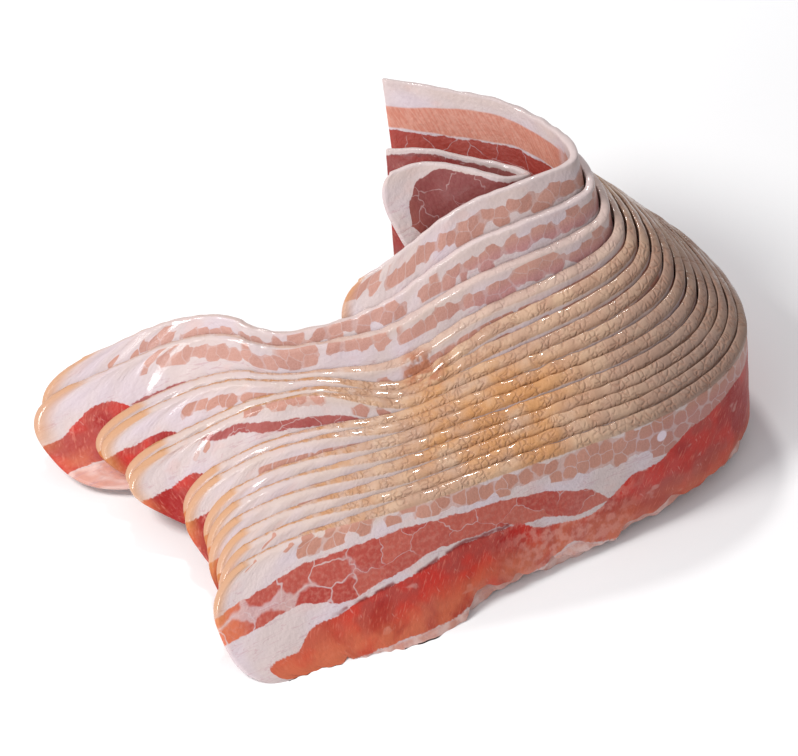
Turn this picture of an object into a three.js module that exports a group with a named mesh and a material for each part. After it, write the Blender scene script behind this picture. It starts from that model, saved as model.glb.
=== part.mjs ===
// A stack of raw streaky bacon, sixteen rashers laid like tiles and folded over at the right.
// The stack lies on its lean edges: +X runs along the rashers, +Z is up, and the rind edges face up.
import * as THREE from "three";

// Sizes in millimetres.
const THICKNESS = 2.6;
const TABLE = 0.4;
const STRAIGHT_STEP = 0.5;
const FOLD_STEP = 0.3;
const COLUMNS = [0, 0.09, 0.32, 0.68, 0.91, 1];
const ROUTE_SAMPLES = 160;

// The front rasher's route, from beyond its tail, past the waist and round the fold to its back arm's end.
// at: where its rind edge runs. tilt: how far the top of a rasher leans in x and y for each unit of height.
// pitch: the step from one rasher to the next behind it. fan: how much more the next one leans.
const ROUTE = [
  { name: "beyond tail", at: [-106, -15, 16], tilt: [-0.62, 1.62], pitch: 4.2, fan: [0, 0] },
  { name: "tail", at: [-64, 2, 21], tilt: [-0.62, 1.6], pitch: 3.5, fan: [0, 0] },
  { name: "shoulder", at: [-38, 12, 28], tilt: [-0.45, 1.2], pitch: 3.4, fan: [0, 0] },
  { name: "flank", at: [-12, 19, 34], tilt: [-0.34, 0.95], pitch: 3.5, fan: [-0.002, 0.003] },
  { name: "waist", at: [14, 27, 39], tilt: [-0.25, 0.7], pitch: 3.6, fan: [-0.004, 0.006] },
  { name: "rise", at: [40, 37, 42], tilt: [-0.16, 0.48], pitch: 3.6, fan: [-0.008, 0.008] },
  { name: "shoulder of the fold", at: [65, 47, 44], tilt: [-0.08, 0.36], pitch: 3.6, fan: [-0.01, 0.01] },
  { name: "entry", at: [91, 60, 45], tilt: [-0.05, 0.3], pitch: 3.6, fan: [-0.012, 0.01] },
  { name: "turn", at: [112, 80, 45], tilt: [-0.05, 0.3], pitch: 3.4, fan: [-0.012, 0.01] },
  { name: "apex", at: [119, 103, 44.5], tilt: [-0.05, 0.36], pitch: 3.2, fan: [-0.012, 0.01] },
  { name: "return", at: [110.5, 130.5, 42.5], tilt: [-0.06, 0.48], pitch: 3.1, fan: [-0.01, 0.008] },
  { name: "exit", at: [90, 157, 40], tilt: [-0.08, 0.65], pitch: 3.0, fan: [-0.008, 0.006] },
  { name: "back arm", at: [62, 171, 36], tilt: [-0.1, 0.78], pitch: 3.0, fan: [-0.006, 0.006] },
  { name: "back end", at: [30, 181, 34], tilt: [-0.1, 0.8], pitch: 3.0, fan: [-0.006, 0.006] },
  { name: "beyond back end", at: [-4, 189, 33], tilt: [-0.1, 0.8], pitch: 3.0, fan: [-0.006, 0.006] },
];

// The rashers from the front one to the top one. drawn: how far each is drawn up from the one before it,
// at the tail, the flank, the waist, the rise, the apex and the back arm.
// tail and end: where it starts and stops, in stations of the route. wide: its width at the tail, waist and fold.
// cut: how far its tail is cut back, in stations, at its lean corner.
const RASHERS = [
  { name: "rasher_01", drawn: [0, 0, 0, 0, 0, 0], tail: 0.84, end: 13.2, wide: [45, 48, 43], cut: 0.1 },
  { name: "rasher_02", drawn: [5.7, 4.8, 3, 3.6, 3, 2], tail: 0.93, end: 13.3, wide: [45, 48, 45], cut: 0.15 },
  { name: "rasher_03", drawn: [5.7, 4.6, 4, 2.8, 2.8, 2], tail: 0.95, end: 13.2, wide: [45, 48, 45], cut: 0.2 },
  { name: "rasher_04", drawn: [5.7, 5, 4, 2.6, 2.4, 2], tail: 0.92, end: 13.2, wide: [45, 49, 46], cut: 0.2 },
  { name: "rasher_05", drawn: [5.6, 5, 3.8, 3, 3, 2], tail: 0.95, end: 13.3, wide: [45, 49, 46], cut: 0.2 },
  { name: "rasher_06", drawn: [5, 4.6, 3.6, 4.2, 3.6, 2], tail: 0.95, end: 13.2, wide: [44, 49, 47], cut: 0.25 },
  { name: "rasher_07", drawn: [7.5, 6.2, 3.2, 2.8, 4.6, 2], tail: 0.83, end: 13.4, wide: [43, 49, 47], cut: 0.3 },
  { name: "rasher_08", drawn: [4, 3.2, 2.6, 3.8, 4.4, 2], tail: 0.83, end: 13.3, wide: [42, 49, 47], cut: 0.35 },
  { name: "rasher_09", drawn: [14, 12.2, 3.6, 3.4, 4, 2], tail: 0.46, end: 13.4, wide: [40, 50, 48], cut: 0.7 },
  { name: "rasher_10", drawn: [4, 2, 2.6, 4.8, 3.8, 2.2], tail: 0.46, end: 13.4, wide: [40, 50, 48], cut: 0.7 },
  { name: "rasher_11", drawn: [13, 3.4, 2.4, 5.2, 3.4, 2.4], tail: 0.41, end: 13.3, wide: [38, 50, 48], cut: 0.5 },
  { name: "rasher_12", drawn: [4, 2.2, 7.5, 5.4, 4, 2.6], tail: 0.39, end: 13.4, wide: [38, 51, 48], cut: 0.5 },
  { name: "rasher_13", drawn: [16, 9.4, 11.6, 10.5, 6.2, 3.6], tail: 0.02, end: 13.4, wide: [45, 51, 48], cut: 0.45 },
  { name: "rasher_14", drawn: [8, 5, 8.4, 11.4, 8.2, 4.4], tail: 0.16, end: 13.5, wide: [50, 51, 48], cut: 0.35 },
  { name: "rasher_15", drawn: [6, 8, 11.6, 12.4, 9.4, 4.6], tail: 3.05, end: 13.65, wide: [46, 50, 48], cut: 0.4 },
];
// The last rasher lies by itself inside the top one's fold, with a tighter bend of its own.
const INNER_ROUTE = [
  { name: "beyond tail", at: [-20, 124, 80], tilt: [-0.5, 0.8] },
  { name: "tail", at: [-7, 130, 85], tilt: [-0.5, 0.75] },
  { name: "near arm", at: [8, 134.5, 88], tilt: [-0.4, 0.7] },
  { name: "entry", at: [23, 131.5, 88.5], tilt: [-0.3, 0.62] },
  { name: "turn", at: [36, 128, 87.5], tilt: [-0.22, 0.6] },
  { name: "bend", at: [44, 133, 84], tilt: [-0.15, 0.6] },
  { name: "return", at: [38, 140, 81], tilt: [-0.12, 0.68] },
  { name: "back arm", at: [24, 144.5, 80.5], tilt: [-0.1, 0.75] },
  { name: "back end", at: [10, 148, 81], tilt: [-0.1, 0.8] },
  { name: "beyond back end", at: [-5, 150, 79], tilt: [-0.1, 0.8] },
  { name: "far beyond", at: [-20, 151, 77], tilt: [-0.1, 0.8] },
];
const INNER = { name: "rasher_16", tail: 0.75, end: 9, wide: [38, 40, 40], cut: 0.3 };
const INNER_BEND = [3.5, 6.5];
const DRAWN_STATIONS = [1, 2.6, 4, 5.5, 9, 12];
const WIDE_STATIONS = [1, 4, 8];

// The front rasher's lean edge is torn in two places, so its width has more stations.
const FRONT_WIDE = {
  stations: [1, 3, 4, 4.3, 5.3, 6.2, 6.5, 8, 10, 12],
  wide: [45, 49, 47, 39, 43, 43, 38, 38, 41, 43],
};
const FOLD = [6, 12];
const FOLD_EASING = 0.6;
const TIP_ROUNDING = 0.6;
const TIP_FADE = 2.2;
const TIP_FULLNESS = 0.96;
const RIND_SLANT = 2.4;
const PLAIN_FROM = 14;
const PLAIN_OVER = 3;
const TIP_ROWS = [0.15, 0.35, 0.6];
const END_ROW = 0.2;
const RAGGED = [
  { size: 1.1, rate: 2.1, shift: 1.7 },
  { size: 0.8, rate: 4.3, shift: 2.9 },
];
const RAW_BACON = 0xd6a094;

// A smooth value along a row of equally spaced stations.
function along(values, place) {
  const last = values.length - 1;
  const i = Math.min(Math.max(Math.floor(place), 0), last - 1);
  const f = place - i;
  const [a, b, c, d] = [i - 1, i, i + 1, i + 2].map((j) => values[Math.min(Math.max(j, 0), last)]);
  return b + 0.5 * f * (c - a + f * (2 * a - 5 * b + 4 * c - d + f * (3 * (b - c) + d - a)));
}

// A smooth value between unevenly spaced stations, which never overshoots them.
function between(stations, values, place) {
  const last = stations.length - 1;
  if (place <= stations[0]) return values[0];
  if (place >= stations[last]) return values[last];
  const rise = (i) => (values[i + 1] - values[i]) / (stations[i + 1] - stations[i]);
  const slope = (i) => {
    if (i === 0 || i === last || rise(i - 1) * rise(i) <= 0) return 0;
    return (2 * rise(i - 1) * rise(i)) / (rise(i - 1) + rise(i));
  };
  const i = stations.findIndex((s) => s > place) - 1;
  const span = stations[i + 1] - stations[i];
  const f = (place - stations[i]) / span;
  const start = values[i] + f * f * (3 - 2 * f) * (values[i + 1] - values[i]);
  return start + span * f * (1 - f) * ((1 - f) * slope(i) - f * slope(i + 1));
}

const stationsOf = (sheet) => sheet.route.length - 1;

// One layer of the stack: the line of its rind edge, its ruling directions and its inward normals.
function layer(route, rind, tilt) {
  const up = tilt.map(([x, y]) => new THREE.Vector3(x, y, 1).normalize());
  const inward = rind.map((point, i) => {
    const before = rind[Math.max(i - 1, 0)];
    const after = rind[Math.min(i + 1, ROUTE_SAMPLES)];
    return new THREE.Vector3().crossVectors(up[i], after.clone().sub(before)).normalize();
  });
  return { route, rind, tilt, up, inward };
}

// The values of one quantity all along a route.
function sample(route, pick) {
  const values = route.map(pick);
  return Array.from({ length: ROUTE_SAMPLES + 1 }, (_, i) =>
    along(values, (i / ROUTE_SAMPLES) * (route.length - 1)),
  );
}

// The layer whose rind edge follows a route.
function follow(route) {
  const [x, y, z] = [0, 1, 2].map((n) => sample(route, (s) => s.at[n]));
  const [leanX, leanY] = [0, 1].map((n) => sample(route, (s) => s.tilt[n]));
  return layer(
    route,
    x.map((_, i) => new THREE.Vector3(x[i], y[i], z[i])),
    leanX.map((_, i) => [leanX[i], leanY[i]]),
  );
}

const pitch = sample(ROUTE, (s) => s.pitch);
const [fanX, fanY] = [0, 1].map((n) => sample(ROUTE, (s) => s.fan[n]));
const placeOf = (i) => (i / ROUTE_SAMPLES) * (ROUTE.length - 1);

// A rasher won't fold sharply, so in the fold each layer rounds itself off a little more than the one before it.
function easeFold(rind, passes) {
  let line = rind;
  for (let pass = 0; pass < passes; pass++) {
    line = line.map((point, i) => {
      const place = placeOf(i);
      if (place < FOLD[0] || place > FOLD[1]) return point;
      const weight = Math.sin((Math.PI * (place - FOLD[0])) / (FOLD[1] - FOLD[0]));
      const middle = line[i - 1].clone().lerp(line[i + 1], 0.5);
      return point.clone().lerp(middle, 0.5 * weight);
    });
  }
  return line;
}

// Each layer is laid inside the one before it, a pitch further in and drawn up along its own rulings.
const layers = [follow(ROUTE)];
for (const rasher of RASHERS.slice(1)) {
  const outer = layers.at(-1);
  const rind = outer.rind.map((point, i) =>
    point
      .clone()
      .addScaledVector(outer.inward[i], pitch[i])
      .addScaledVector(outer.up[i], between(DRAWN_STATIONS, rasher.drawn, placeOf(i))),
  );
  const eased = easeFold(rind, FOLD_EASING * layers.length ** 2);
  const tilt = outer.tilt.map(([x, y], i) => [x + fanX[i], y + fanY[i]]);
  layers.push(layer(ROUTE, eased, tilt));
}

// A point of a layer: place along the route, distance down from the rind edge, and depth through the rasher.
function pointIn(sheet, place, down, depth) {
  const p = THREE.MathUtils.clamp((place / stationsOf(sheet)) * ROUTE_SAMPLES, 0, ROUTE_SAMPLES - 1e-6);
  const i = Math.floor(p);
  const f = p - i;
  const mix = (list) => list[i].clone().lerp(list[i + 1], f);
  const point = mix(sheet.rind)
    .addScaledVector(mix(sheet.up).normalize(), -down)
    .addScaledVector(mix(sheet.inward).normalize(), depth);
  point.z = Math.max(point.z, TABLE);
  return point;
}

// A closed body from two grids of points, front and back, joined round their edge.
function slab(front, back) {
  const rows = front.length;
  const columns = front[0].length;
  const points = [...front.flat(), ...back.flat()];
  const at = (side, i, j) => side * rows * columns + i * columns + j;
  const index = [];
  const quad = (a, b, c, d) => index.push(a, b, c, a, c, d);
  for (let i = 0; i < rows - 1; i++) {
    for (let j = 0; j < columns - 1; j++) {
      quad(at(0, i, j), at(0, i, j + 1), at(0, i + 1, j + 1), at(0, i + 1, j));
      quad(at(1, i, j), at(1, i + 1, j), at(1, i + 1, j + 1), at(1, i, j + 1));
    }
  }
  const edge = [];
  for (let i = 0; i < rows - 1; i++) edge.push([i, 0]);
  for (let j = 0; j < columns - 1; j++) edge.push([rows - 1, j]);
  for (let i = rows - 1; i > 0; i--) edge.push([i, columns - 1]);
  for (let j = columns - 1; j > 0; j--) edge.push([0, j]);
  edge.forEach(([i, j], n) => {
    const [k, l] = edge[(n + 1) % edge.length];
    quad(at(0, i, j), at(0, k, l), at(1, k, l), at(1, i, j));
  });
  const geometry = new THREE.BufferGeometry();
  geometry.setAttribute("position", new THREE.Float32BufferAttribute(points.flatMap((p) => p.toArray()), 3));
  geometry.setIndex(index);
  geometry.computeVertexNormals();
  return geometry;
}

// The places along a route where the cells meet, closer together between the two ends of a bend.
function placesOf(stations, bend) {
  const places = [];
  for (let place = 0; place <= stations; place += place >= bend[0] && place < bend[1] ? FOLD_STEP : STRAIGHT_STEP) {
    places.push(place);
  }
  return places;
}

// A rasher in its layer, with a rounded fat tip at its tail, a straight cut at its other end,
// a slightly ragged lean edge and, where slant isn't 0, a slanted rind.
function rasherGeometry(rasher, sheet, places, slant, phase) {
  const { stations, wide } = phase === 0 ? FRONT_WIDE : { stations: WIDE_STATIONS, wide: rasher.wide };
  const inner = places.filter((place) => place > rasher.tail + TIP_ROWS[2] && place < rasher.end - END_ROW);
  const rows = [rasher.tail, rasher.tail + TIP_ROWS[0], rasher.tail + TIP_ROWS[1], ...inner, rasher.end];
  const grid = (side) =>
    rows.map((place) => {
      const fade = Math.max(0, 1 - (place - rasher.tail) / TIP_FADE);
      const ragged =
        RAGGED[0].size * Math.sin(RAGGED[0].rate * place + RAGGED[0].shift * phase) +
        RAGGED[1].size * Math.sin(RAGGED[1].rate * place + RAGGED[1].shift * phase);
      const width = between(stations, wide, place) + ragged;
      return COLUMNS.map((across) => {
        const round = 1 - Math.sqrt(1 - TIP_FULLNESS * Math.abs(2 * across - 1) ** 3);
        const setBack = round * TIP_ROUNDING + across * rasher.cut;
        const top = side < 0 ? slant : 0;
        const down = THREE.MathUtils.lerp(top, width, across);
        return pointIn(sheet, place + setBack * fade, down, (side * THICKNESS) / 2);
      });
    });
  return slab(grid(-1), grid(1));
}

const group = new THREE.Group();
function add(rasher, geometry) {
  const material = new THREE.MeshStandardMaterial({ color: RAW_BACON, roughness: 0.4, metalness: 0 });
  const mesh = new THREE.Mesh(geometry, material);
  mesh.name = rasher.name;
  group.add(mesh);
}
const places = placesOf(ROUTE.length - 1, FOLD);
RASHERS.forEach((rasher, k) => {
  const slant = RIND_SLANT * THREE.MathUtils.clamp((PLAIN_FROM - k) / PLAIN_OVER, 0, 1);
  add(rasher, rasherGeometry(rasher, layers[k], places, slant, k));
});
const innerPlaces = placesOf(INNER_ROUTE.length - 1, INNER_BEND);
add(INNER, rasherGeometry(INNER, follow(INNER_ROUTE), innerPlaces, 0, RASHERS.length));

// The origin is the middle of the stack's base.
const box = new THREE.Box3().setFromObject(group);
const middle = box.getCenter(new THREE.Vector3()).setZ(box.min.z);
group.children.forEach((mesh) => mesh.geometry.translate(-middle.x, -middle.y, -middle.z));

export default group;
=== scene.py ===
import bmesh
import bpy
import numpy as np
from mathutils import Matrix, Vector


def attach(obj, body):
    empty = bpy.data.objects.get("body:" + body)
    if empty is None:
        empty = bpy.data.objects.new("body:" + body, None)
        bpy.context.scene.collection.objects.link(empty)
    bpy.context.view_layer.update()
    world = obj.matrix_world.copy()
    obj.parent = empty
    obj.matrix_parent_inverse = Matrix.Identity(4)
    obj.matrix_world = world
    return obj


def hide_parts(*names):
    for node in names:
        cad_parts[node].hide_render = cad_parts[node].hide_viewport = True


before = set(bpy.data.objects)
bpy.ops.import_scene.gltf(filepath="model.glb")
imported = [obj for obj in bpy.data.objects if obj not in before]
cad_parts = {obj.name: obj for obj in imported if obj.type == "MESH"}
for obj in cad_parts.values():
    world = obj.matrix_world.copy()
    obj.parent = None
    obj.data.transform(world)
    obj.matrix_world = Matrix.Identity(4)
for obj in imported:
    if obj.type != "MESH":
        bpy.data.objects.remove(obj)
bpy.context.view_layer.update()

# The outer stack: fifteen raw streaky rashers, cut across a pork belly, laid like tiles on their lean
# edges and folded back at the right. Each is a soft slice with rind and fat on top and lean streaks
# below, and it rests against the one behind it: nothing else holds the stack.
MM = 0.001
TABLE = 0.4
BASE = np.array([-2.0345, 75.8435, TABLE])
SAMPLES = 160
# stations along the front rasher's rind, in millimetres: where it lies, how its face tilts, how far
# off the next rasher lies, and how the tilt changes from each rasher to the next
ROUTE = [
    ("beyond tail", (-106, -15, 16), (-0.62, 1.62), 4.2, (0, 0)),
    ("tail", (-64, 2, 21), (-0.62, 1.6), 3.5, (0, 0)),
    ("shoulder", (-38, 12, 28), (-0.45, 1.2), 3.4, (0, 0)),
    ("flank", (-12, 19, 34), (-0.34, 0.95), 3.5, (-0.002, 0.003)),
    ("waist", (14, 27, 39), (-0.25, 0.7), 3.6, (-0.004, 0.006)),
    ("rise", (40, 37, 42), (-0.16, 0.48), 3.6, (-0.008, 0.008)),
    ("shoulder of the fold", (65, 47, 44), (-0.08, 0.36), 3.6, (-0.01, 0.01)),
    ("entry", (91, 60, 45), (-0.05, 0.3), 3.6, (-0.012, 0.01)),
    ("turn", (112, 80, 45), (-0.05, 0.3), 3.4, (-0.012, 0.01)),
    ("apex", (119, 103, 44.5), (-0.05, 0.36), 3.2, (-0.012, 0.01)),
    ("return", (110.5, 130.5, 42.5), (-0.06, 0.48), 3.1, (-0.01, 0.008)),
    ("exit", (90, 157, 40), (-0.08, 0.65), 3.0, (-0.008, 0.006)),
    ("back arm", (62, 171, 36), (-0.1, 0.78), 3.0, (-0.006, 0.006)),
    ("back end", (30, 181, 34), (-0.1, 0.8), 3.0, (-0.006, 0.006)),
    ("beyond back end", (-4, 189, 33), (-0.1, 0.8), 3.0, (-0.006, 0.006)),
]
# name, how far drawn up from the rasher before it, first and last station, widths, slant of the tail cut
RASHERS = [
    ("rasher_01", (0, 0, 0, 0, 0, 0), 0.84, 13.2, (45, 48, 43), 0.1),
    ("rasher_02", (5.7, 4.8, 3, 3.6, 3, 2), 0.93, 13.3, (45, 48, 45), 0.15),
    ("rasher_03", (5.7, 4.6, 4, 2.8, 2.8, 2), 0.95, 13.2, (45, 48, 45), 0.2),
    ("rasher_04", (5.7, 5, 4, 2.6, 2.4, 2), 0.92, 13.2, (45, 49, 46), 0.2),
    ("rasher_05", (5.6, 5, 3.8, 3, 3, 2), 0.95, 13.3, (45, 49, 46), 0.2),
    ("rasher_06", (5, 4.6, 3.6, 4.2, 3.6, 2), 0.95, 13.2, (44, 49, 47), 0.25),
    ("rasher_07", (7.5, 6.2, 3.2, 2.8, 4.6, 2), 0.83, 13.4, (43, 49, 47), 0.3),
    ("rasher_08", (4, 3.2, 2.6, 3.8, 4.4, 2), 0.83, 13.3, (42, 49, 47), 0.35),
    ("rasher_09", (14, 12.2, 3.6, 3.4, 4, 2), 0.46, 13.4, (40, 50, 48), 0.7),
    ("rasher_10", (4, 2, 2.6, 4.8, 3.8, 2.2), 0.46, 13.4, (40, 50, 48), 0.7),
    ("rasher_11", (13, 3.4, 2.4, 5.2, 3.4, 2.4), 0.41, 13.3, (38, 50, 48), 0.5),
    ("rasher_12", (4, 2.2, 7.5, 5.4, 4, 2.6), 0.39, 13.4, (38, 51, 48), 0.5),
    ("rasher_13", (16, 9.4, 11.6, 10.5, 6.2, 3.6), 0.02, 13.4, (45, 51, 48), 0.45),
    ("rasher_14", (8, 5, 8.4, 11.4, 8.2, 4.4), 0.16, 13.5, (50, 51, 48), 0.35),
    ("rasher_15", (6, 8, 11.6, 12.4, 9.4, 4.6), 3.05, 13.65, (46, 50, 48), 0.4),
]
DRAWN_STATIONS = (1, 2.6, 4, 5.5, 9, 12)
WIDE_STATIONS = (1, 4, 8)
FRONT = 0
TOP = 14
PLAIN_OVER = 3
FRONT_STATIONS = (1, 3, 4, 4.2, 5.3, 6.2, 6.4, 8, 10, 12)
FRONT_WIDE = (45, 49, 47, 39, 43, 43, 38, 38, 41, 43)
# where the lean edge of the front rasher is torn in: how far along, how deep and how long
NOTCHES = (
    (92, 2.6, 1.6),
    (61, 1.5, 2.2),
    (112, 1.8, 1.8),
    (127, 2.2, 1.5),
    (150, 1.6, 2.4),
    (176, 1.8, 2.0),
    (37, 1.3, 2.0),
)
FOLD = (6, 12)
FOLD_EASING = 0.6
THICKNESS = 2.95
RIND_SLANT = 2.4
TIP_ROUNDING = 0.6
TIP_FULLNESS = 0.96
TIP_FADE = 2.2
ROW_STEP = 1.3
END_ROWS = np.array([0, 0.12, 0.4, 0.8, 1.3])
END_ROUND = 1.3
END_LENGTH = 2
FACE_COLUMNS = 34
EDGE_COLUMNS = 5
EDGE_CROWDING = 0.06
LEAN_EDGE = 0.1
LEAN_EDGE_THINNED = 0.45
CUT_SCALE = 100
SEAM = 2e-6
# size, rate and shift of the waves in a rasher's width
RAGGED = ((1.1, 2.1, 1.7), (0.8, 4.3, 2.9))
FRAY = ((0.5, 11.3, 5.1), (0.35, 27.1, 3.7))
# a slow wave through the whole slice, and a change in its thickness: how much, and the lengths
WAVE, WAVE_LENGTHS = 0.12, (7.1, 17.3)
SWELL, SWELL_LENGTHS = 0.10, (3.3, 9)
# lumps of the rind edge, higher where it puckers at the waist
LUMP, LUMP_LENGTHS = 0.14, (2.1, 5.3, 1.37, 7.7)
PUCKER_MIDDLE, PUCKER_SPREAD, PUCKER_HEIGHT = 136, 24, 1.2


def along(values, place):
    """A smooth line of values through equally spaced stations."""
    values = np.asarray(values, float)
    last = len(values) - 1
    i = np.clip(np.floor(place).astype(int), 0, last - 1)
    f = (place - i).reshape(place.shape + (1,) * (values.ndim - 1))
    a, b, c, d = (values[np.clip(i + k, 0, last)] for k in (-1, 0, 1, 2))
    return b + 0.5 * f * (c - a + f * (2 * a - 5 * b + 4 * c - d + f * (3 * (b - c) + d - a)))


def between(stations, values, place):
    """A smooth line of values through unevenly spaced stations, with no overshoot."""
    x, y = np.asarray(stations, float), np.asarray(values, float)
    rise = np.diff(y) / np.diff(x)
    slope = np.zeros(len(x))
    for i in range(1, len(x) - 1):
        if rise[i - 1] * rise[i] > 0:
            slope[i] = 2 * rise[i - 1] * rise[i] / (rise[i - 1] + rise[i])
    p = np.clip(place, x[0], x[-1])
    i = np.clip(np.searchsorted(x, p, side="right") - 1, 0, len(x) - 2)
    span = x[i + 1] - x[i]
    f = (p - x[i]) / span
    start = y[i] + f * f * (3 - 2 * f) * (y[i + 1] - y[i])
    return start + span * f * (1 - f) * ((1 - f) * slope[i] - f * slope[i + 1])


def unit(v):
    return v / np.linalg.norm(v, axis=-1, keepdims=True)


def layer(rind, tilt, stations):
    """The sheet that a rasher follows: rind line, direction up its face, and direction inwards."""
    up = unit(np.concatenate([tilt, np.ones((len(tilt), 1))], axis=1))
    ahead = np.concatenate([rind[1:], rind[-1:]]) - np.concatenate([rind[:1], rind[:-1]])
    inward = unit(np.cross(up, ahead))
    return {"rind": rind, "tilt": tilt, "up": up, "inward": inward, "stations": stations}


def stations_of(route):
    return np.linspace(0, len(route) - 1, SAMPLES + 1)


def follow(route):
    place = stations_of(route)
    rind, tilt = (along([station[k] for station in route], place) for k in (1, 2))
    return layer(rind, tilt, len(route) - 1)


def ease_fold(rind, passes):
    """A rasher won't fold sharply, so each layer is rounded off more than the one outside it."""
    place = stations_of(ROUTE)
    inside = (place >= FOLD[0]) & (place <= FOLD[1])
    turn = np.sin(np.pi * (place - FOLD[0]) / (FOLD[1] - FOLD[0]))
    weight = np.where(inside, turn, 0)[:, None]
    for _ in range(passes):
        middle = rind.copy()
        middle[1:-1] = (rind[:-2] + rind[2:]) / 2
        rind = rind + 0.5 * weight * (middle - rind)
    return rind


def point_in(sheet, place, down, depth):
    """Points of a sheet in millimetres: place along it, distance down from the rind, depth through it."""
    p = np.clip(place / sheet["stations"] * SAMPLES, 0, SAMPLES - 1e-6)
    i = np.floor(p).astype(int)
    f = (p - i)[..., None]
    rind, up, inward = (sheet[k][i] * (1 - f) + sheet[k][i + 1] * f for k in ("rind", "up", "inward"))
    return rind - unit(up) * down[..., None] + unit(inward) * depth[..., None]


def make_rasher(name, sheet, tail, end, stations, wide, cut, slant, phase, notches=()):
    """One slice: a grid wrapped round its flat section, closed at both ends, with its cut coordinates."""
    length = np.linalg.norm(np.diff(sheet["rind"], axis=0), axis=1)
    run = np.concatenate([[0], np.cumsum(length)])
    ends = np.array([tail, end]) / sheet["stations"] * SAMPLES
    start, stop = np.interp(ends, np.arange(SAMPLES + 1), run)
    rows = int((stop - start) / ROW_STEP)
    middle = np.linspace(start + END_LENGTH, stop - END_LENGTH, rows)
    travel = np.concatenate([start + END_ROWS, middle, stop - END_ROWS[::-1]])
    place = np.interp(travel, run, np.linspace(0, sheet["stations"], SAMPLES + 1))
    mm_along = travel - start

    # round the section: how far across from rind to lean edge, which side, and the rounded edges
    half = np.linspace(0, 1, FACE_COLUMNS)
    face = half - EDGE_CROWDING * np.sin(2 * np.pi * half)
    flat, edge = np.ones(FACE_COLUMNS), np.ones(EDGE_COLUMNS)
    bend = np.linspace(0, np.pi, EDGE_COLUMNS + 2)[1:-1]
    across = np.concatenate([face, edge, face[::-1], 0 * edge])
    side = np.concatenate([-flat, -np.cos(bend), flat, np.cos(bend)])
    bulge = np.concatenate([0 * flat, np.sin(bend), 0 * flat, -np.sin(bend)])

    near_end = np.minimum(travel - travel[0], travel[-1] - travel)
    thin = np.sqrt(np.clip(1 - (1 - np.clip(near_end / END_ROUND, 0, 1)) ** 2, 0, 1))[:, None]
    ragged = sum(size * np.sin(rate * place + shift * phase) for size, rate, shift in RAGGED + FRAY)
    width = between(stations, wide, place) + ragged
    for spot, deep, span in notches:
        width = width - deep * np.exp(-(((mm_along - spot) / span) ** 2))
    width = width[:, None]
    fade = np.clip(1 - (place - tail) / TIP_FADE, 0, 1)[:, None]
    rounding = 1 - np.sqrt(1 - TIP_FULLNESS * np.abs(2 * across - 1) ** 3)[None, :]
    at = place[:, None] + (rounding * TIP_ROUNDING + across[None, :] * cut) * fade

    mm = travel[:, None]
    short, long = WAVE_LENGTHS
    ripple = np.sin(mm / short + across * 3.0 + phase) * np.sin(mm / long + phase * 2.3)
    short, long = SWELL_LENGTHS
    swell = SWELL * np.sin(mm / short + across * 9 + phase * 1.3) * np.sin(across * 14 + mm / long)
    at_lean = np.clip((across - (1 - LEAN_EDGE)) / LEAN_EDGE, 0, 1)
    lean_thin = 1 - LEAN_EDGE_THINNED * at_lean[None, :] ** 2
    half_thick = THICKNESS / 2 * thin * lean_thin * (1 + swell)
    pucker = np.exp(-(((mm_along - PUCKER_MIDDLE) / PUCKER_SPREAD) ** 2))
    short, long, fine, drift = LUMP_LENGTHS
    lumps = np.sin(mm / short + phase * 7 + side * 0.9) * np.sin(mm / long + phase * 3)
    lumps = lumps + 0.5 * np.sin(mm / fine + phase * 5 + 2 * np.sin(mm / drift))
    lumps = lumps * LUMP * (1 + PUCKER_HEIGHT * pucker[:, None])
    top = slant * thin * (1 - (side[None, :] + 1) / 2) * (1 - across[None, :])
    rim = 0.5 * THICKNESS / 2 * thin * bulge[None, :]
    down = across[None, :] * width + top + rim + lumps * thin * np.clip(1 - across * 6, 0, 1)
    depth = side[None, :] * half_thick + WAVE * ripple
    points = point_in(sheet, at, down, depth)
    points[..., 2] = np.maximum(points[..., 2], TABLE)
    points = (points - BASE) * MM

    bm = bmesh.new()
    uv = bm.loops.layers.uv.new("cut")
    n, m = points.shape[:2]
    bmesh.ops.create_grid(bm, x_segments=n - 1, y_segments=m, size=1.0)
    spots = {}
    for v in bm.verts:
        i = int(round((v.co.x + 1) / 2 * (n - 1)))
        j = int(round((v.co.y + 1) / 2 * m))
        spots[v] = (i, j % m)
    for quad in bm.faces:
        for loop in quad.loops:
            i, j = spots[loop.vert]
            loop[uv].uv = (mm_along[i] / CUT_SCALE, down[i, j] / CUT_SCALE)
    for v, (i, j) in spots.items():
        v.co = points[i, j]
    bmesh.ops.remove_doubles(bm, verts=bm.verts, dist=SEAM)
    bmesh.ops.recalc_face_normals(bm, faces=bm.faces)
    mesh = bpy.data.meshes.new(name + "_meat")
    bm.to_mesh(mesh)
    bm.free()
    mesh.shade_smooth()
    piece = bpy.data.objects.new(name + "_meat", mesh)
    bpy.context.scene.collection.objects.link(piece)
    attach(piece, "root")
    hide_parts(name)
    return piece


pitch = along([station[3] for station in ROUTE], stations_of(ROUTE))[:, None]
fan = along([station[4] for station in ROUTE], stations_of(ROUTE))
sheets = [follow(ROUTE)]
for number, (_, drawn, *_rest) in enumerate(RASHERS[1:], start=1):
    outer = sheets[-1]
    lifted = between(DRAWN_STATIONS, drawn, stations_of(ROUTE))[:, None]
    rind_line = outer["rind"] + outer["inward"] * pitch + outer["up"] * lifted
    eased = ease_fold(rind_line, int(np.ceil(FOLD_EASING * number**2)))
    sheets.append(layer(eased, outer["tilt"] + fan, len(ROUTE) - 1))


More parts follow.
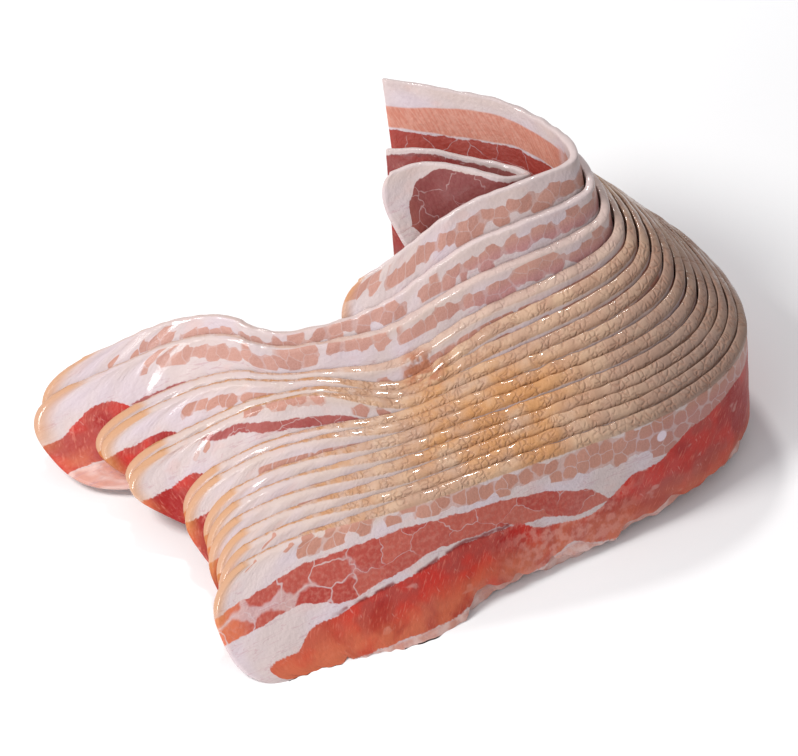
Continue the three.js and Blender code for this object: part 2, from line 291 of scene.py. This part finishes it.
class Wire:
    """A shader socket that can be used in sums."""

    tree = None

    def __init__(self, socket):
        self.socket = socket

    @classmethod
    def node(cls, kind, settings=None, **inputs):
        """A node with its settings, then the values or links of its sockets, by number or name."""
        node = cls.tree.nodes.new(kind)
        for key, value in (settings or {}).items():
            setattr(node, key, value)
        for key, value in inputs.items():
            slot = node.inputs[int(key[1:]) if key[1:].isdigit() else key.replace("_", " ")]
            if isinstance(value, Wire):
                cls.tree.links.new(value.socket, slot)
            else:
                slot.default_value = value
        return node

    @classmethod
    def math(cls, operation, a, b):
        return cls(cls.node("ShaderNodeMath", {"operation": operation}, i0=a, i1=b).outputs[0])

    def __add__(self, other):
        return Wire.math("ADD", self, other)

    def __sub__(self, other):
        return Wire.math("SUBTRACT", self, other)

    def __mul__(self, other):
        return Wire.math("MULTIPLY", self, other)

    def __rsub__(self, other):
        return Wire.math("SUBTRACT", other, self)

    __radd__ = __add__
    __rmul__ = __mul__

    def step(self, low, high):
        """0 at low, 1 at high, smooth between and level beyond."""
        smooth = {"interpolation_type": "SMOOTHSTEP"}
        node = Wire.node("ShaderNodeMapRange", smooth, i0=self, i1=low, i2=high, i3=0.0, i4=1.0)
        return Wire(node.outputs[0])

    def within(self, low, high, soft):
        """1 from low to high, fading to 0 over soft at both."""
        return (self - low).step(-soft, soft) * (high - self).step(-soft, soft)


def either(a, b):
    return Wire.math("MAXIMUM", a, b)


def mixed(mask, a, b):
    """Colour a where the mask is 0 and b where it is 1."""
    return Wire(Wire.node("ShaderNodeMix", {"data_type": "RGBA"}, i0=mask, i6=a, i7=b).outputs[2])


def line(a, points):
    """A smooth line of values over the distance along a rasher, level beyond its first and last point."""
    value = points[0][1]
    for (start, low), (stop, high) in zip(points, points[1:]):
        value = a.step(start, stop) * (high - low) + value
    return value


def linear(c):
    return c / 12.92 if c <= 0.04045 else ((c + 0.055) / 1.055) ** 2.4


def srgb(r, g, b, own=0.8):
    """The surface's own colour, from the 0 to 255 numbers of how it looks when lit."""
    return tuple(own * linear(c / 255) for c in (r, g, b)) + (1.0,)


def vector(x, y, z=0.0):
    return Wire(Wire.node("ShaderNodeCombineXYZ", None, i0=x, i1=y, i2=z).outputs[0])


def noise(where, scale, detail=2.0):
    solid = {"noise_dimensions": "3D"}
    node = Wire.node("ShaderNodeTexNoise", solid, Vector=where, Scale=scale, Detail=detail)
    return Wire(node.outputs[0])


class Bundles:
    """Muscle bundles or skin cells seen end-on: rounded cells that fill a plane."""

    def __init__(self, a, d, size, uneven=0.8):
        flat = {"voronoi_dimensions": "2D"}
        inputs = {"Vector": vector(a, d), "Scale": 1 / size, "Randomness": uneven}
        edge = Wire.node("ShaderNodeTexVoronoi", {**flat, "feature": "DISTANCE_TO_EDGE"}, **inputs)
        near = Wire.node("ShaderNodeTexVoronoi", {**flat, "feature": "F1"}, **inputs)
        middle = Wire.node("ShaderNodeSeparateXYZ", None, i0=Wire(near.outputs["Position"]))
        shade = Wire.node("ShaderNodeSeparateColor", None, i0=Wire(near.outputs["Color"]))
        self.edge = Wire(edge.outputs["Distance"]) * size
        self.radius = Wire(near.outputs["Distance"]) * size
        self.middle_a = Wire(middle.outputs[0])
        self.middle_d = Wire(middle.outputs[1])
        self.shade = Wire(shade.outputs[0])
        self.size = size

    def blobs(self, gap):
        """1 inside each cell, with its corners rounded off, 0 in the gaps between."""
        return self.edge.step(gap * 0.3, gap) * (1 - self.radius.step(self.size * 0.5, self.size * 0.64))


FAT = srgb(216, 197, 194)
FAT_COOL = srgb(216, 199, 208)
FAT_CREAM = srgb(212, 184, 162)
FAT_PINK = srgb(226, 178, 168)
FAT_THREAD = srgb(190, 140, 150)
MARGIN_PALE = srgb(238, 194, 182)
MARGIN_DEEP = srgb(220, 146, 124)
AMBER = srgb(208, 142, 74)
SKIN_TAN = srgb(196, 156, 130)
SKIN_PALE = srgb(212, 176, 146)
SKIN_BROWN = srgb(168, 116, 90)
SKIN_GREY = srgb(150, 122, 110)
RIND_CUT = srgb(200, 138, 84)
KNOT_BROWN = srgb(180, 108, 70)
GRISTLE_WHITE = srgb(240, 222, 232)
LEAN_DUSTY = srgb(186, 128, 110)
LEAN_DUSTY_PALE = srgb(202, 146, 128)
LEAN_DUSTY_BROWN = srgb(198, 140, 118)
LEAN_MAUVE = srgb(188, 126, 124)
LEAN_PINK = srgb(194, 100, 84)
LEAN_GRAIN = srgb(210, 138, 122)
PINK_PAINTED_SHADE = srgb(146, 70, 74)
LEAN_ROSE = srgb(178, 64, 54)
LEAN_RED = srgb(202, 46, 32)
LEAN_DEEP = srgb(166, 20, 14)
LEAN_ORANGE = srgb(218, 116, 80)
LEAN_CREVICE_SHADE = srgb(132, 30, 26)
LEAN_FIBRE = srgb(226, 132, 112)
LEAN_PAINTED_GLINT = srgb(238, 186, 176)
LEAN_PALE = srgb(232, 158, 142)
LEAN_PAINTED_SHADE = srgb(104, 60, 60)
LOOP_LEAN = srgb(208, 132, 110)
LOOP_LEAN_PALE = srgb(216, 150, 130)
LOOP_RED = srgb(162, 52, 40)
# how far up the stack's leaning front, from the distance back and the height
UP_THE_FRONT = (0.719, 0.695)
# the white dot of gristle in the front rasher: along it and below its rind
GRISTLE = (173, 11)
# where each streak starts and stops below the rind, in millimetres, over the distance along the rasher
FRONT_STREAKS = {
    "dusty": (
        ((36, 2.0), (90, 2.2), (108, 4.0), (164, 3.2), (203, 1.6)),
        ((36, 7.0), (72, 6.0), (90, 8.0), (126, 11.0), (146, 14.0), (185, 18.0), (210, 15.0)),
    ),
    "pink": (
        ((0, 15.0), (12, 12.5), (39, 10.0), (70, 9.5), (106, 12.0), (125, 14.5), (141, 19.0), (154, 27.0)),
        ((0, 25.0), (12, 24.0), (30, 22.5), (50, 27.0), (66, 24.0), (85, 20.5), (105, 21.0),
         (124, 24.0), (140, 28.0), (154, 27.0)),
    ),
    "red": (
        ((4, 46.0), (10, 38.0), (22, 37.0), (36, 31.0), (69, 27.0), (96, 22.0), (115, 22.5),
         (126, 27.0), (143, 30.0), (165, 21.0), (189, 14.0), (208, 11.0)),
        ((3, 48.0), (80, 46.0), (100, 43.0), (122, 42.0), (136, 37.5), (150, 43.0), (183, 44.0)),
    ),
}
COVERED_STREAKS = {
    "dusty": (((0, 5.2), (50, 6.0)), ((0, 6.5), (60, 9.5))),
    "pink": (((0, 15.0), (30, 15.0)), ((0, 13.0), (26, 13.0), (52, 24.0))),
    "red": (((0, 11.0), (25, 10.0), (50, 29.0)), ((0, 30.0), (25, 33.0), (50, 40.0))),
}
NINTH_STREAKS = {
    "dusty": (((50, 0.4), (78, 1.0), (102, 3.6)), ((50, 1.9), (78, 3.2), (102, 6.2))),
    "pink": (((24, 3.0), (47, 3.6), (69, 7.4), (84, 8.2), (94, 7.6), (104, 9.0)),
             ((24, 3.0), (47, 6.6), (69, 11.0), (84, 11.6), (94, 9.8), (104, 9.0))),
    "red": (((0, 15.0), (25, 13.0), (50, 29.0)), ((0, 30.0), (25, 33.0), (50, 40.0))),
}
UPPER_STREAKS = {
    "dusty": (((20, 1.6), (47, 3.0), (66, 4.6), (90, 2.6), (125, 1.4), (150, 2.6), (176, 5.0), (196, 3.0)),
              ((20, 4.2), (47, 6.5), (66, 8.6), (90, 8.0), (125, 5.5), (150, 6.8), (176, 10.5), (196, 8.6))),
    "pink": (((0, 15.0), (30, 15.0)), ((0, 13.0), (26, 13.0), (52, 24.0))),
    "red": (((0, 17.0), (24, 10.5), (50, 29.0)), ((0, 29.0), (12, 30.0), (50, 40.0))),
}
LOOP_STREAKS = {
    "dusty": (((0, 1.2), (27, 2.6), (60, 4.8), (110, 4.0), (122, 5.0), (160, 5.6), (188, 9.0)),
              ((0, 4.0), (27, 7.6), (60, 10.8), (110, 10.0), (122, 14.0), (188, 16.5))),
    "pink": (((0, 15.0), (110, 15.0), (122, 14.6), (188, 17.2)), ((0, 24.0), (110, 24.0), (188, 27.0))),
    "red": (((0, 29.0), (110, 29.0), (122, 29.5)), ((0, 40.0), (110, 43.0))),
}
# streaks, where the row of blobs and the single dots before it start, where the lean turns smooth
# inside the fold, and how much the blobs run together
NO_LOOP = 900.0
COVERED_LOOK = (COVERED_STREAKS, 34, 12, NO_LOOP, 0.0)
LOOKS = {
    0: (FRONT_STREAKS, 33, 3, NO_LOOP, 0.0),
    8: (NINTH_STREAKS, 50, 12, NO_LOOP, 0.0),
    12: (UPPER_STREAKS, 36, 10, NO_LOOP, 0.2),
    13: (UPPER_STREAKS, 36, 10, NO_LOOP, 0.2),
    14: (LOOP_STREAKS, 0.0, 0.0, 114, 0.15),
}


def meat_material(name, number, skin_share, look, painted_shade=0.0):
    """Raw streaky bacon: amber rind, fat, and lean streaks in blobs, wet all over."""
    streaks, dusty_from, dots_from, loop_from, faint = look
    front = number == FRONT
    material = bpy.data.materials.new(name)
    material.use_nodes = True
    Wire.tree = material.node_tree
    Wire.tree.nodes.clear()

    # a along the rasher and d below its rind, x, y and z in the stack, all in millimetres
    sheet_spot = Wire(Wire.node("ShaderNodeUVMap", {"uv_map": "cut"}).outputs[0])
    split = Wire.node("ShaderNodeSeparateXYZ", None, i0=sheet_spot)
    a, d = (Wire(split.outputs[k]) * CUT_SCALE for k in range(2))
    where = Wire(Wire.node("ShaderNodeTexCoord").outputs["Object"])
    spot = Wire.node("ShaderNodeSeparateXYZ", None, i0=where)
    x, y, z = (Wire(spot.outputs[k]) * 1000 for k in range(3))
    rise = y * UP_THE_FRONT[0] + z * UP_THE_FRONT[1]
    shift = number * 61.0
    flat = vector(a, d, shift)

    # where each streak lies, with edges that sway and fray
    sway = (noise(flat, 0.09, 1.0) - 0.5) * 4
    jitter = (noise(flat, 0.25, 1.0) - 0.5) * 3.4
    jolt = (noise(vector(a, d, shift + 40), 0.25, 1.0) - 0.5) * 3.4
    fray = (noise(flat, 0.9, 3.0) - 0.5) * 1.6
    edges = {kind: [line(a, points) for points in pair] for kind, pair in streaks.items()}
    dusty_top, dusty_bottom = edges["dusty"]
    red_top, red_bottom = edges["red"]

    small = Bundles(a + shift + jitter, d + sway * 0.2 + jolt * 0.8, 5.0, 0.65)
    large = Bundles(a * 0.8 + shift + jitter * 1.5, d + sway * 0.5 + jolt * 1.2, 10.5, 0.85)
    small_a = small.middle_a - shift
    in_dusty = small.middle_d.within(dusty_top - 0.7, dusty_bottom + 0.7, 0.1)
    in_dusty = in_dusty * d.within(dusty_top - 1.3, dusty_bottom + 1.3, 0.2)
    in_dusty = in_dusty * small_a.step(dusty_from, dusty_from + 0.5)
    joined = 0.5 + faint + (0.5 - faint) * small.blobs(0.26)
    dusty_mask = in_dusty * joined * (1 - faint * 0.5)
    dotted = small.shade.step(0.80, 0.82) * (1 - small.radius.step(1.2, 1.6))
    dotted = dotted * small.middle_d.within(2.0, 7.5, 0.2)
    dusty_mask = either(dusty_mask, dotted * small_a.within(dots_from, dusty_from, 0.3))
    loop = a.step(loop_from, loop_from + 8)
    smooth_lean = loop * (d + sway * 0.4).within(dusty_top, dusty_bottom, 0.4)
    dusty_mask = either(dusty_mask * (1 - loop), smooth_lean)

    vein = (1 - large.edge.step(0.03, 0.26)) * noise(flat, 0.12).step(0.3, 0.55)
    pink_mask = (d + fray * 0.6 + jolt * 0.5).within(*edges["pink"], 0.25) * (1 - vein * 0.5)
    if front:
        parted = (1 - large.blobs(0.5)) * (1 - a.step(38, 66)) * 0.6
        pink_mask = pink_mask * (1 - parted)
    red_mask = (d + fray + sway * 0.8).within(red_top, red_bottom, 0.3)
    lean = either(either(dusty_mask, pink_mask), red_mask)

    # fat: cool, pink and creamy by turns, paler under the red lean, with thin threads
    fat = mixed(noise(flat, 0.05).step(0.4, 0.66) * 0.7, FAT, FAT_COOL)
    pinkish = noise(vector(a * 0.6, d, shift + 9), 0.16).step(0.56, 0.74)
    fat = mixed(pinkish * 0.25, fat, FAT_PINK)
    pale_left = 1 - x.step(-40, 10)
    rind_share = 0.2 + 0.8 * skin_share
    fat = mixed((1 - d.step(0.8, 6.0)) * (1 - pale_left * 0.6) * rind_share, fat, FAT_CREAM)
    margin = mixed(noise(flat, 0.15).step(0.4, 0.6), MARGIN_PALE, MARGIN_DEEP)
    fat = mixed((d - red_bottom).step(-0.5, 1.0) * 0.85, fat, margin)
    thread = noise(vector(a * 0.12, d, shift + 3), 0.5).within(0.49, 0.51, 0.008)
    fat = mixed(thread * d.step(8, 10) * 0.4, fat, FAT_THREAD)

    # the dusty blobs in the fat
    fibres = noise(vector(a * 0.9 + d * 0.5, d * 0.22, shift), 1.3)
    fine = Bundles(a + shift, d, 1.1, 1.0)
    dusty = mixed(small.shade, LEAN_DUSTY, LEAN_DUSTY_PALE)
    dusty = mixed(a.step(150, 190) * d.step(4, 9), dusty, LEAN_MAUVE)
    dusty = mixed((1 - fine.edge.step(0.03, 0.2)) * 0.15, dusty, FAT_PINK)
    in_loop = mixed(fibres.step(0.4, 0.6), LOOP_LEAN, LOOP_LEAN_PALE)
    dusty = mixed(loop, dusty, in_loop)
    if front:
        dusty = mixed(0.4, dusty, LEAN_DUSTY_BROWN)

    # the pink streak
    pink = mixed(large.shade, LEAN_PINK, LEAN_ROSE)
    pink = mixed((1 - a.step(6, 14)) * 0.9, pink, LEAN_ORANGE)
    pink = mixed(noise(flat, 0.6, 3.0).step(0.4, 0.7) * 0.35, pink, LEAN_GRAIN)
    pink = mixed(loop * 0.8, pink, LOOP_RED)
    # painted shade: the pink streak of every rasher but the front and top ones is darkened, as it lies in
    # shade between its neighbours
    if number not in (FRONT, TOP):
        pink = mixed(0.5, pink, PINK_PAINTED_SHADE)

    # the red streak at the lean edge, with pale fibres, painted glints and an orange, paler lower side
    red = mixed(noise(flat, 0.07).step(0.42, 0.6), LEAN_ROSE, LEAN_RED)
    red = mixed(noise(vector(a, d, shift + 21), 0.055, 1.0).step(0.5, 0.62), red, LEAN_DEEP)
    red = mixed(fibres.step(0.54, 0.72) * 0.45, red, LEAN_FIBRE)
    # painted highlight: pale glints of wet lean, painted into the red streak's colour
    painted_glints = noise(vector(a * 1.1 - d * 0.4, d * 0.35, shift + 5), 0.8, 1.0).step(0.68, 0.76)
    red = mixed(painted_glints * 0.25, red, LEAN_PAINTED_GLINT)
    fat_specks = noise(vector(a * 0.5, d, shift + 30), 0.16).step(0.66, 0.72)
    red = mixed(fat_specks * 0.4, red, FAT_PINK)
    if front:
        low_side = (d - red_bottom).step(-17, -2)
        low_side = low_side * (0.3 + noise(flat, 0.1).step(0.36, 0.58) * 0.5)
        red = mixed(low_side, red, LEAN_ORANGE)
        red = mixed((1 - a.step(16, 64)) * 0.4, red, LEAN_ORANGE)
        pale_lean = a.within(112, 158, 14) * noise(flat, 0.3).step(0.4, 0.62)
        red = mixed(pale_lean * 0.6, red, LEAN_PALE)
    else:
        low_side = (d - red_bottom).step(-9, 0) * noise(flat, 0.1).step(0.42, 0.6)
        red = mixed(low_side * 0.8, red, LEAN_ORANGE)

    colour = mixed(dusty_mask, fat, dusty)
    if front:
        off_a, off_d = a - GRISTLE[0], d - GRISTLE[1]
        gristle = 1 - (off_a * off_a + off_d * off_d).step(2.6, 5.0)
        colour = mixed(gristle, colour, GRISTLE_WHITE)
    colour = mixed(pink_mask, colour, pink)
    colour = mixed(red_mask, colour, red)
    # painted shade: a dark maroon line in the crevice along the top of the front rasher's red streak
    if front:
        crevice_shade = (d + jolt * 0.6 - red_top).within(-1.0, 0.2, 0.5)
        crevice_shade = crevice_shade * noise(vector(a, shift), 0.09).step(0.44, 0.5) * a.within(45, 120, 6)
        colour = mixed(crevice_shade * 0.85, colour, LEAN_CREVICE_SHADE)

    # the rind: pebbled skin, amber at the waist and grey round the bend, plain cut rind at the left
    pebbles = Bundles(a * 0.8 + shift + jitter * 0.5, d + jolt * 0.5, 1.8, 1.0)
    crease = 1 - pebbles.edge.step(0.0, 0.55)
    crease = crease * noise(vector(a, d, shift + 50), 0.25).step(0.38, 0.62)
    skin = mixed(noise(vector(a, d, shift + 2), 0.08, 3.0).step(0.4, 0.62), SKIN_TAN, SKIN_PALE)
    amber_here = x.within(4, 62, 14) * rise.within(-4, 36, 9) * noise(where, 70.0, 3.0).step(0.36, 0.6)
    skin = mixed(amber_here * 0.75, skin, AMBER)
    skin = mixed(x.step(55, 110) * 0.75, skin, SKIN_GREY)
    skin = mixed(crease * 0.42, skin, SKIN_BROWN)
    rind_width = (1 - pale_left) * (3.2 * skin_share) + 0.45
    rind = 1 - (d - rind_width + (noise(flat, 0.5) - 0.5) * 0.9).step(-0.3, 0.3)
    browned = (0.45 + noise(flat, 0.2).step(0.35, 0.6) * 0.5) * rind_share
    cut_edge = mixed(browned, FAT, RIND_CUT)
    rind_colour = mixed(pale_left, mixed(skin_share, FAT, skin), cut_edge)
    colour = mixed(rind, colour, rind_colour)
    if not painted_shade:
        tip = (1 - a.step(0.4, 7.0)) * (1 - d.step(10, 24))
        colour = mixed(tip * 0.7, colour, AMBER)
    knot = x.within(3.5, 17.0, 2.5) * rise.within(26.5, 38.0, 2.5)
    colour = mixed(knot * noise(where, 260.0).step(0.4, 0.56) * 0.85, colour, KNOT_BROWN)
    # painted shade: the lean of the rasher inside the fold is darkened, as it lies in the shadow of the top
    # rasher's loop
    if painted_shade:
        colour = mixed(lean * painted_shade, colour, LEAN_PAINTED_SHADE)

    # the relief, and where the surface is wettest
    height = noise(flat, 0.7) * 0.8 - crease * rind * (skin_share * 1.4) + noise(where, 800.0, 1.0) * 0.3
    height = height + knot * noise(where, 260.0, 3.0) * 5
    bump = Wire.node("ShaderNodeBump", None, Strength=0.45, Distance=0.0006, Height=height)
    pool = x.within(-34, 16, 14) * rise.within(2, 30, 9)
    rough = 0.44 + noise(flat, 0.3) * 0.2 - lean * 0.05 - pool * 0.15
    wet = (0.12 + noise(where, 45.0).step(0.48, 0.62) * 0.75) * (1 - lean * 0.55)
    wet = wet + knot * 0.3 + pool * 0.6
    shader = Wire.node("ShaderNodeBsdfPrincipled", None, Base_Color=colour, Roughness=rough,
                       Coat_Weight=wet, Normal=Wire(bump.outputs[0]))
    shader.inputs["Coat Roughness"].default_value = 0.08
    shader.inputs["IOR"].default_value = 1.38
    out = Wire.node("ShaderNodeOutputMaterial")
    Wire.tree.links.new(shader.outputs[0], out.inputs[0])
    return material


for number, (name, _, tail, end, wide, cut) in enumerate(RASHERS):
    slant = RIND_SLANT * min(max((TOP - number) / PLAIN_OVER, 0), 1)
    skin_share = min(max((TOP - 1 - number) / PLAIN_OVER, 0.0), 1.0)
    stations, notches = WIDE_STATIONS, ()
    if number == FRONT:
        stations, wide, notches = FRONT_STATIONS, FRONT_WIDE, NOTCHES
    rasher = make_rasher(name, sheets[number], tail, end, stations, wide, cut, slant, number, notches)
    label = "raw_rasher_%02d" % (number + 1)
    look = LOOKS.get(number, COVERED_LOOK)
    rasher.data.materials.append(meat_material(label, number, skin_share, look))

# The rasher inside the fold: a short one, folded tightly on itself and tucked into the top rasher's
# loop. It is the same raw belly slice, with a rounded fat tail at its front end, and it lies there
# loose. Its lean is darkened with painted shade, for the shadow it lies in inside the loop.
INNER_ROUTE = [
    ("beyond tail", (-20, 124, 80), (-0.5, 0.8)),
    ("tail", (-7, 130, 85), (-0.5, 0.75)),
    ("near arm", (8, 134.5, 88), (-0.4, 0.7)),
    ("entry", (23, 131.5, 88.5), (-0.3, 0.62)),
    ("turn", (36, 128, 87.5), (-0.22, 0.6)),
    ("bend", (44, 133, 84), (-0.15, 0.6)),
    ("return", (38, 140, 81), (-0.12, 0.68)),
    ("back arm", (24, 144.5, 80.5), (-0.1, 0.75)),
    ("back end", (10, 148, 81), (-0.1, 0.8)),
    ("beyond back end", (-5, 150, 79), (-0.1, 0.8)),
    ("far beyond", (-20, 151, 77), (-0.1, 0.8)),
]
INNER_STREAKS = {
    "dusty": (((0, 50.0), (8, 50.0)), ((0, 51.0), (8, 51.0))),
    "pink": (((6, 20.0), (10, 11.0), (15, 5.0), (26, 1.2)), ((6, 20.0), (12, 30.0))),
    "red": (((0, 41.0), (3, 31.0), (60, 31.0), (90, 1.8)), ((0, 42.0), (3, 40.0))),
}
INNER_LOOK = (INNER_STREAKS, 0.0, 0.0, NO_LOOP, 0.0)
INNER_WIDE = (38, 40, 40)
INNER_CUT = 0.3
INNER_ENDS = (0.75, 9)
INNER_PAINTED_SHADE = 0.45
inner = make_rasher("rasher_16", follow(INNER_ROUTE), *INNER_ENDS, WIDE_STATIONS, INNER_WIDE, INNER_CUT,
                    0, len(RASHERS))
inner.data.materials.append(meat_material("raw_inner_rasher", 16, 0.0, INNER_LOOK, INNER_PAINTED_SHADE))

# The table, the light and the camera: a plain pale surface under the stack, a soft lamp high at the
# left, a small one behind for the wet glints, a wide low one at the front left, and a pale room.
# The camera looks down from the front with a long lens.
bm = bmesh.new()
bmesh.ops.create_grid(bm, x_segments=1, y_segments=1, size=3.0)
floor_mesh = bpy.data.meshes.new("floor")
bm.to_mesh(floor_mesh)
bm.free()
floor = bpy.data.objects.new("floor", floor_mesh)
bpy.context.scene.collection.objects.link(floor)
plain = bpy.data.materials.new("pale_table")
plain.use_nodes = True
plain.node_tree.nodes["Principled BSDF"].inputs["Base Color"].default_value = (0.93, 0.93, 0.93, 1)
plain.node_tree.nodes["Principled BSDF"].inputs["Roughness"].default_value = 0.8
floor_mesh.materials.append(plain)


def soft_lamp(name, place, size, power, tint):
    lamp = bpy.data.lights.new(name, "AREA")
    lamp.shape, lamp.size, lamp.energy, lamp.color = "DISK", size, power, tint
    holder = bpy.data.objects.new(name, lamp)
    holder.location = place
    holder.rotation_euler = (place - AIM).to_track_quat("Z", "Y").to_euler()
    bpy.context.scene.collection.objects.link(holder)


AIM = Vector((0.0017, -0.0158, 0.0576))
WARM = (1.0, 0.99, 0.98)
COOL = (0.99, 0.98, 1.0)
soft_lamp("key_lamp", Vector((-0.56, -0.2, 0.76)), 0.32, 6.2, WARM)
soft_lamp("glint_lamp", Vector((-0.12, 0.55, 0.75)), 0.12, 2.6, WARM)
soft_lamp("fill_lamp", Vector((-0.6, -0.85, 0.3)), 0.9, 4.2, COOL)
room = bpy.data.worlds.new("pale_room")
room.use_nodes = True
room.node_tree.nodes["Background"].inputs[0].default_value = (0.95, 0.96, 1.0, 1)
room.node_tree.nodes["Background"].inputs[1].default_value = 0.45
bpy.context.scene.world = room

FRAME_WIDTH = 0.2752
ELEVATION = np.radians(46)
lens = bpy.data.cameras.new("camera")
lens.lens, lens.sensor_width, lens.sensor_fit = 600, 36, "HORIZONTAL"
lens.clip_start, lens.clip_end = 0.1, 20
reach = FRAME_WIDTH * lens.lens / lens.sensor_width
camera = bpy.data.objects.new("camera", lens)
camera.location = AIM + Vector((0, -np.cos(ELEVATION), np.sin(ELEVATION))) * reach
camera.rotation_euler = (np.pi / 2 - ELEVATION, 0, 0)
bpy.context.scene.collection.objects.link(camera)
bpy.context.scene.camera = camera
bpy.context.scene.view_settings.view_transform = "Standard"
